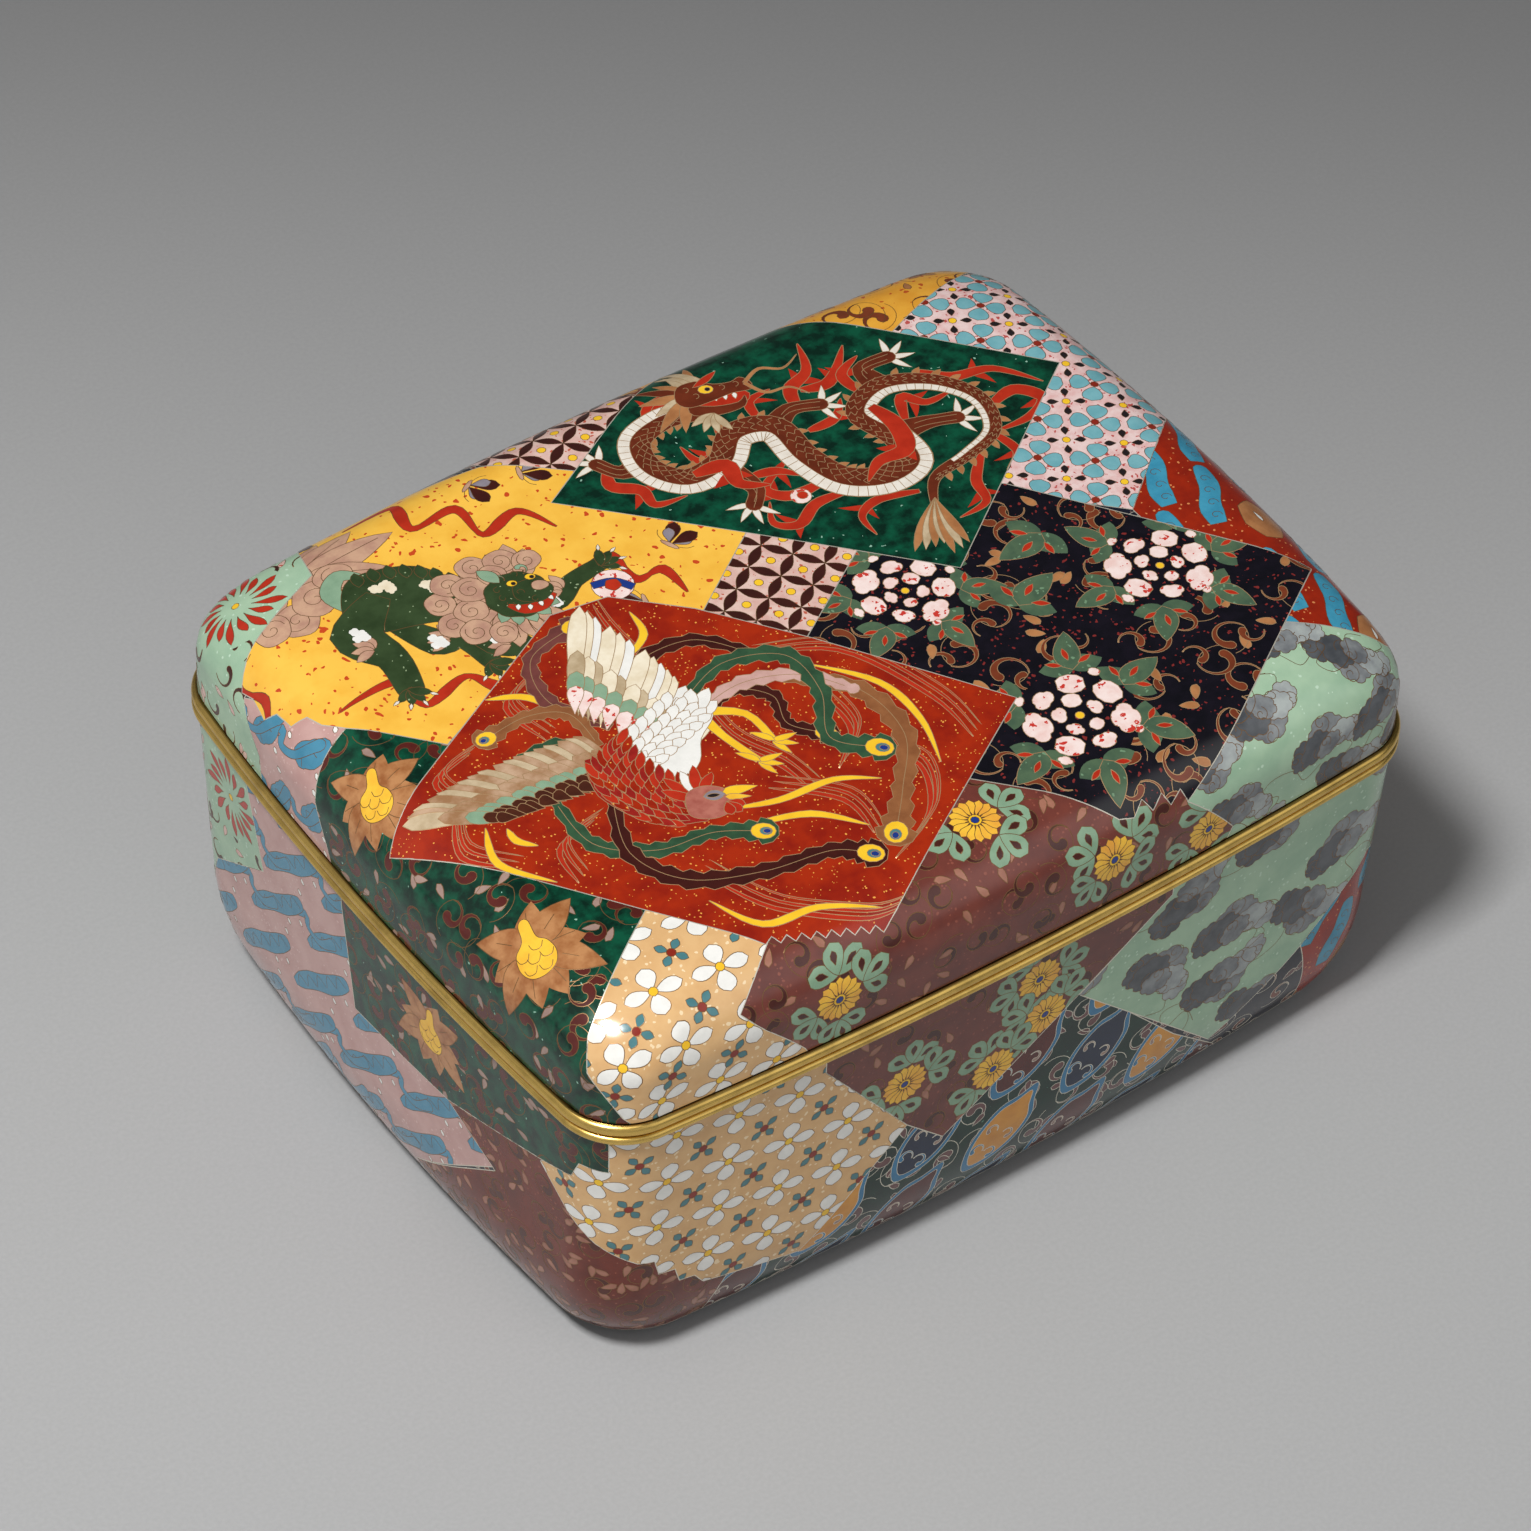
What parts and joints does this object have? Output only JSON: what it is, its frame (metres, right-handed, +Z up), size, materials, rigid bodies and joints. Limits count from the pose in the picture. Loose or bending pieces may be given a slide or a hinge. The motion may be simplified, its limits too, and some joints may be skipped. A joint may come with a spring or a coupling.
{
  "type": "lidded enamel box",
  "caption": "Low rectangular lidded box with bowed sides and round corners, hollow enamelled metal shells, brass rims at the seam, and a lift-off lid.",
  "frame": {"origin": "middle of the flat underside", "axes": "+Z up, +X along the long side, -Y towards the long side that the picture shows"},
  "size_m": [0.2, 0.1562, 0.097],
  "materials": {
    "lid_enamel": "polished glassy enamel in many colours, divided by fine metal wires",
    "body_enamel": "polished glassy enamel in many colours, divided by fine metal wires",
    "counter_enamel": "plain glossy enamel, slightly speckled",
    "brass": "polished, with fine scratches along its length and a light tarnish",
    "wire": "ground flush and polished"
  },
  "bodies": {
    "root": {"body_shell": "body_enamel", "body_rim": "brass", "lid_rim": "brass", "lid_shell": "lid_enamel"}
  },
  "joints": []
}
